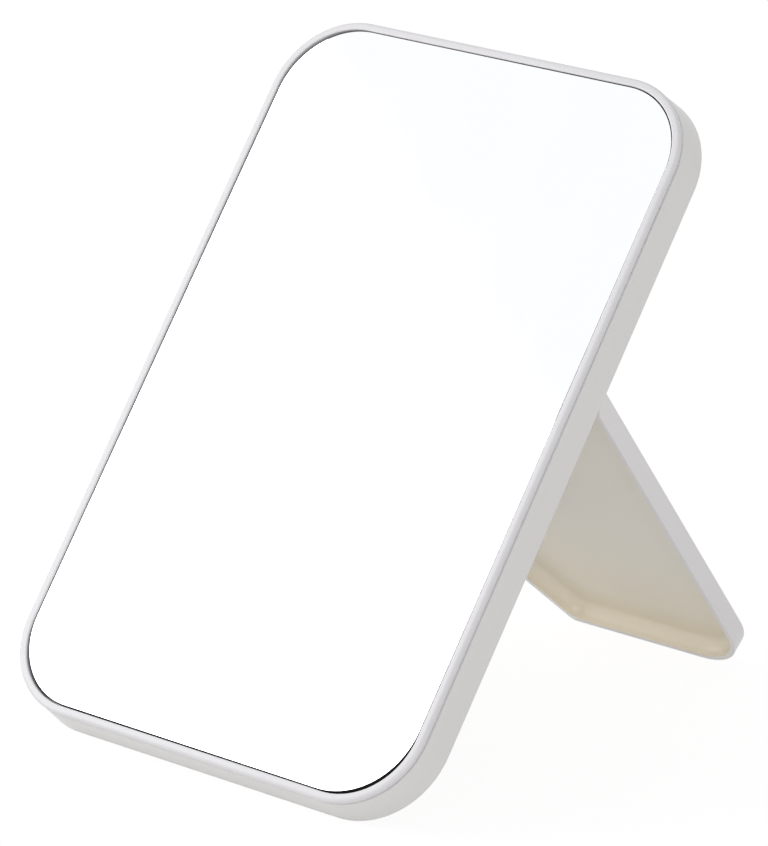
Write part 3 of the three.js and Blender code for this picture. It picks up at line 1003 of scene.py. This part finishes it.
# %% Leg sizes
leg_past_face, leg_short_of_edge = 0.4 * MM, 0.5 * MM
leg_side = panel_width / 2 + leg_past_face
leg_length = hinge_height - leg_short_of_edge
leg_depth, leg_wall, leg_end_wall = 7.2 * MM, 1.8 * MM, 2.4 * MM
foot_start, foot_radius, point_radius = 8 * MM, 20 * MM, 2.5 * MM
leg_edge_radius = 0.8 * MM
point_segments = 8
rim_reach = hinge_setback - gap
outer_reach = leg_depth - rim_reach
inside_face = outer_reach - leg_wall
stop_angle = math.pi - leg_open


def stop_line(y):
    """The height of the stop face at a depth of the leg."""
    return (rim_reach - y * math.cos(stop_angle)) / math.sin(stop_angle)


leg_top = stop_line(outer_reach)
slant_run, slant_rise = foot_start + leg_side, leg_top + leg_length
slant_length = math.hypot(slant_run, slant_rise)


def slanted_side(height, inset):
    """Where the slanted side stands at a height, moved inwards by an inset."""
    return foot_start + (inset * slant_length - (height + leg_length) * slant_run) / slant_rise


print("leg top at", round(leg_top / MM, 3), "mm, side slanted by", round(slant_run / slant_rise, 4))

# %% A tray outline as a block


def tray_block(inset, top, y0, y1, point_rounding):
    """A closed block with the leg's outline moved inwards by an inset, from one depth to another."""
    bpy.ops.mesh.primitive_plane_add(size=2, location=(0, y0, 0), rotation=(quarter_turn, 0, 0))
    tray = bpy.context.object
    settle()
    edit_mesh()
    low = inset - leg_length
    wanted = {
        (-1, -1): (slanted_side(low, inset), low),
        (1, -1): (leg_side - inset, low),
        (1, 1): (leg_side - inset, top),
        (-1, 1): (slanted_side(top, inset), top),
    }
    for (x, z), (to_x, to_z) in wanted.items():
        pick("VERT", lambda corner, normal: at(corner.x, x) and at(corner.z, z))
        bpy.ops.transform.translate(value=(to_x - x, 0, to_z - z))
    half_angle = (math.pi / 2 + math.atan2(slant_run, slant_rise)) / 2  # of the point at the foot
    for (x, z), reach, segments in (
        (wanted[(1, -1)], foot_radius - inset, corner_segments),
        (wanted[(-1, -1)], point_rounding / math.tan(half_angle), point_segments),
    ):
        pick("VERT", lambda corner, normal: at(corner.x, x) and at(corner.z, z))
        bpy.ops.mesh.bevel(offset=reach, segments=segments, affect="VERTICES")
    pick_all()
    extrude(y=y1 - y0)
    make_faces_point_out()
    return tray


# %% Leg body with its round end
leg = tray_block(0, leg_top, -rim_reach, outer_reach, point_radius)
front_top = stop_line(-rim_reach)
drop = leg_top - front_top
for side, slide in ((-1, drop * slant_run / slant_rise), (1, 0)):
    pick(
        "VERT",
        lambda corner, normal: at(corner.y, -rim_reach) and at(corner.z, leg_top) and corner.x * side > 0,
    )
    bpy.ops.transform.translate(value=(slide, 0, -drop))
pick("EDGE", lambda middle, along: at(middle.y, -rim_reach) and at(middle.z, front_top) and at(along.z, 0))
bevel_edges(front_top, steps=12)
pick_edges_at(outer_reach)
bevel_edges(leg_edge_radius, steps=5)
make_faces_point_out()
leave_mesh()

# %% Hollow, windows, knuckles and bores
hollow_fillet, hollow_point_radius = 4.4 * MM, 6 * MM
hollow_top, hollow_front = leg_top - leg_end_wall, -rim_reach - 2 * gap
hollow = tray_block(leg_wall, hollow_top, hollow_front, inside_face, hollow_point_radius)
pick_edges_at(inside_face)
bevel_edges(hollow_fillet, steps=10)
make_faces_point_out()
leave_mesh()
combine(leg, [hollow], "DIFFERENCE")

pin_radius, knuckle_width = 1 * MM, 2.4 * MM
washer_thickness, clip_thickness, pin_overhang = 0.4 * MM, 0.5 * MM, 1.1 * MM
knuckle_inner = lug_thickness / 2 + gap + washer_thickness + gap
knuckle_outer = knuckle_inner + knuckle_width
clip_inner = knuckle_outer + gap
pin_tip = clip_inner + clip_thickness + pin_overhang


def bar_along_x(radius, x0, x1, sides=round_sides):
    """A round bar along the hinge's axis."""
    return round_bar(sides, radius, x1 - x0, ((x0 + x1) / 2, 0, 0), (0, quarter_turn, 0))


def knuckle(x0, x1):
    """A hinge knuckle: round towards the panel, square where it runs into the leg's floor."""
    made = bar_along_x(rim_reach, x0, x1)
    edit_mesh()
    pick_all()
    bpy.ops.mesh.bisect(plane_co=(x0, 0, 0), plane_no=(0, 1, 0), use_fill=True, clear_outer=True)
    pick("FACE", lambda middle, normal: abs(normal.y) > straight and at(middle.y, 0))
    extrude(y=inside_face + gap)
    make_faces_point_out()
    leave_mesh()
    return made


windows = []
knuckles = []
bores = []
window_reach = pin_tip + gap
window_limits = (-rim_reach - gap, inside_face, -rim_reach, leg_top + gap)  # in y and z
for hinge_x in (-hinge_spacing / 2, hinge_spacing / 2):
    windows.append(block(hinge_x - window_reach, hinge_x + window_reach, *window_limits))
    for start, end in ((-knuckle_outer, -knuckle_inner), (knuckle_inner, knuckle_outer)):
        x0, x1 = hinge_x + start, hinge_x + end
        knuckles.append(knuckle(x0, x1))
        bores.append(bar_along_x(pin_radius + gap, x0 - gap, x1 + gap))
combine(leg, windows, "DIFFERENCE")
combine(leg, knuckles, "UNION")
combine(leg, bores, "DIFFERENCE")
clean_up(leg)
print("leg:", len(leg.data.polygons), "faces")

# %% Leg finishes and place
leg_middle = Vector((leg_side / 2, 0, -leg_length / 2))
slight_turn = 0.2
smooth_piece(leg)
set_finishes(leg, leg_white, leg_inside_painted_bounce)
# the hollow's floor and inner walls take the second material, which holds painted warm bounce light
for face in leg.data.polygons:
    inwards = leg_middle - face.center
    inwards.y = 0
    below_end_wall = face.center.z < hollow_top
    on_floor = face.normal.y < -slight_turn and face.center.y > gap - rim_reach and below_end_wall
    on_wall = abs(face.normal.y) < slight_turn and face.normal.dot(inwards) > 0
    if on_floor or on_wall:
        face.material_index = 1
put_in_place(leg, "leg_tray", "leg", "leg_plastic", "stand_leg", turn=leg_turn, place=hinge_axis)

# %% [markdown]
# ## The hinge's small parts
# The two hinges are alike, mirrored left and right. Each has a bent steel bracket on the casing, a headed
# pin through the leg's knuckles, a flat washer, a wave washer that gives the friction, a spring clip on the
# pin's tip and two cross-head screws. Each part is modelled once, for the right hinge, around the hinge's
# axis, and a mirrored copy with its own mesh goes to the left. Thin steel is never sharp, so a small bevel
# rounds its edges.

# %% Both hinges
sharp_turn = math.radians(40)


def on_both_sides(model, name, slot, finish, nodes, edge):
    """Round a small part's edges, and put it at the right hinge and mirrored at the left one."""
    clean_up(model)
    apply_modifier(model, "BEVEL", width=edge, segments=2, limit_method="ANGLE", angle_limit=sharp_turn)
    clean_up(model)
    mirrored = own_copy(model)
    mirrored.scale.x = -1
    select(mirrored)
    settle()
    clean_up(mirrored)
    for piece, side in ((model, "right"), (mirrored, "left")):
        smooth_piece(piece, angle=45)
        set_finishes(piece, finish)
        put_in_place(piece, name.format(side), "panel", slot, nodes.format(side), place=hinge_axis)


def ring(outer, inner, x0, x1):
    """A flat ring round the hinge's axis."""
    made = bar_along_x(outer, x0, x1)
    combine(made, [bar_along_x(inner, x0 - gap, x1 + gap)], "DIFFERENCE")
    return made


right_x = hinge_spacing / 2

# %% Bracket
bracket_thickness, bracket_edge = 1.2 * MM, 0.12 * MM
lug_radius, shoulder_angle = 2.3 * MM, math.radians(-30)
base_corner = 1.2 * MM
back = -hinge_setback + gap
base_high = base_top - hinge_height
base_low = base_high - bracket_base
lug_left, lug_right = right_x - lug_thickness / 2, right_x + lug_thickness / 2

front = back + bracket_thickness
bracket = block(lug_left - bracket_base, lug_right, back, front, base_low, base_high)
edit_mesh()
pick("EDGE", lambda middle, along: abs(along.y) > bracket_thickness / 2 and middle.x < lug_left)
bevel_edges(base_corner, steps=6)
leave_mesh()

web = block(lug_left, lug_right, back, front, base_low, 0)
edit_mesh()
pick("VERT", lambda corner, normal: at(corner.z, 0) and corner.y > back + gap)
shoulder_y, shoulder_z = lug_radius * math.cos(shoulder_angle), lug_radius * math.sin(shoulder_angle)
bpy.ops.transform.translate(value=(0, shoulder_y - front, shoulder_z))
leave_mesh()
combine(bracket, [web], "UNION")
combine(bracket, [bar_along_x(lug_radius, lug_left, lug_right)], "UNION")
screw_holes = [
    bar_along_y(screw_radius + gap, back - gap, front + gap, screw_x, z - hinge_height)
    for z in screw_heights
]
combine(bracket, screw_holes, "DIFFERENCE")
combine(bracket, [bar_along_x(pin_radius + gap, lug_left - gap, lug_right + gap)], "DIFFERENCE")
on_both_sides(bracket, "bracket_{}", "plated_steel", zinc_plate, "hinge_bracket_{}", bracket_edge)

# %% Pin
pin_head_radius, pin_head_thickness = 1.9 * MM, 1.1 * MM
pin_head_rounding, pin_edge, pin_sides = 0.5 * MM, 0.1 * MM, 32
head_start = right_x - knuckle_outer - gap
pin = bar_along_x(pin_radius, head_start, right_x + pin_tip, pin_sides)
edit_mesh()
pick("FACE", lambda middle, normal: normal.x < -straight)
extrude()
growth = pin_head_radius / pin_radius
bpy.ops.transform.resize(value=(1, growth, growth))
extrude(x=-pin_head_thickness)
pick("EDGE", lambda middle, along: at(middle.x, head_start - pin_head_thickness) and at(along.x, 0))
bevel_edges(pin_head_rounding, steps=4)
make_faces_point_out()
leave_mesh()
on_both_sides(pin, "pin_{}", "plated_steel", zinc_plate, "hinge_pin_{}", pin_edge)

# %% Washers
washer_radius, wave_sheet, wave_count = 2.1 * MM, 0.2 * MM, 3
flat_edge, wave_edge = 0.05 * MM, 0.04 * MM
wear_end = right_x - lug_thickness / 2 - gap
flat_washer = ring(washer_radius, pin_radius + gap, wear_end - washer_thickness, wear_end)
on_both_sides(flat_washer, "flat_washer_{}", "spring_steel", spring_steel, "wear_washer_{}", flat_edge)

wave_middle = right_x + lug_thickness / 2 + gap + washer_thickness / 2
wave_swing = (washer_thickness - wave_sheet) / 2
wave_start, wave_end = wave_middle - wave_sheet / 2, wave_middle + wave_sheet / 2
bent_washer = ring(washer_radius, pin_radius + gap, wave_start, wave_end)
for corner in bent_washer.data.vertices:
    angle = math.atan2(corner.co.z, corner.co.y)
    corner.co.x += wave_swing * math.cos(wave_count * angle)
on_both_sides(bent_washer, "bent_washer_{}", "spring_steel", spring_steel, "wave_washer_{}", wave_edge)

# %% Clip
clip_radius, clip_opening, clip_edge = 2.2 * MM, 0.9 * MM, 0.06 * MM
clip_start = right_x + clip_inner
clip_end = clip_start + clip_thickness
half_opening = clip_opening / 2
clip = ring(clip_radius, pin_radius + gap, clip_start, clip_end)
mouth = block(clip_start - gap, clip_end + gap, -half_opening, half_opening, -2 * clip_radius, 0)
combine(clip, [mouth], "DIFFERENCE")
on_both_sides(clip, "clip_{}", "spring_steel", spring_steel, "pin_clip_{}", clip_edge)

# %% Screws
screw_head_radius, screw_head_thickness, screw_length = 1.9 * MM, 1 * MM, 7.5 * MM
screw_sides = 32
screw_head_rounding, screw_point, screw_edge = 0.45 * MM, 0.5 * MM, 0.03 * MM
slot_width, slot_depth, slot_reach = 0.5 * MM, 0.5 * MM, 1.14 * MM
under_head = front + gap
screw_tip = under_head - screw_length
head_top = under_head + screw_head_thickness
slot_limits = (head_top - slot_depth, head_top + gap)  # in y
for z, which in zip(screw_heights, ("lower", "upper")):
    height = z - hinge_height
    screw = bar_along_y(screw_radius, screw_tip, under_head, screw_x, height, screw_sides)
    edit_mesh()
    pick("FACE", lambda middle, normal: normal.y > straight)
    extrude()
    growth = screw_head_radius / screw_radius
    bpy.ops.transform.resize(value=(growth, 1, growth))
    extrude(y=screw_head_thickness)
    pick_edges_at(head_top)
    bevel_edges(screw_head_rounding, steps=4)
    pick_edges_at(screw_tip)
    bevel_edges(screw_point, steps=1)
    make_faces_point_out()
    leave_mesh()
    half = slot_width / 2
    cross = [
        block(screw_x - dx, screw_x + dx, *slot_limits, height - dz, height + dz)
        for dx, dz in ((slot_reach, half), (half, slot_reach))
    ]
    combine(screw, cross, "DIFFERENCE")
    name, node = "screw_{}_" + which, "bracket_screw_{}_" + which
    on_both_sides(screw, name, "plated_steel", zinc_plate, node, screw_edge)

# %% [markdown]
# ## Foam tape
# Four strips of closed-cell foam tape hold the glass on the bezel's ledge. They can't be seen in the
# finished mirror, but they are there in the real one. Each is a cut strip with square ends and slightly
# bulged sides, because the glass squeezes it.

# %% Foam strips
foam_front = glass_back + gap
foam_thickness, foam_width, foam_inset = 0.8 * MM, 10 * MM, 5 * MM
foam_bulge = 0.25 * MM
tape_clear_side, tape_clear_end = 20 * MM, 28 * MM


def foam_strip(x0, x1, z0, z1, name, node):
    """A strip of tape between two pairs of limits, squeezed so that its sides bulge."""
    strip = block(x0, x1, foam_front, foam_front + foam_thickness, z0, z1)
    edit_mesh()
    pick("EDGE", lambda middle, along: not at(middle.y, foam_front + foam_thickness / 2))
    bevel_edges(foam_bulge, steps=3)
    make_faces_point_out()
    leave_mesh()
    smooth_piece(strip, angle=40)
    set_finishes(strip, foam_tape)
    put_in_place(strip, name, "panel", "foam", node)


near_edge, far_edge = foam_inset, foam_inset + foam_width
half_panel = panel_width / 2
low_z, high_z = tape_clear_side, panel_height - tape_clear_side
low_x, high_x = tape_clear_end - half_panel, half_panel - tape_clear_end
strip_limits = {
    "bottom": (low_x, high_x, near_edge, far_edge),
    "top": (low_x, high_x, panel_height - far_edge, panel_height - near_edge),
    "right": (half_panel - far_edge, half_panel - near_edge, low_z, high_z),
    "left": (near_edge - half_panel, far_edge - half_panel, low_z, high_z),
}
for side, limits in strip_limits.items():
    foam_strip(*limits, "foam_tape_" + side, "foam_strip_" + side)
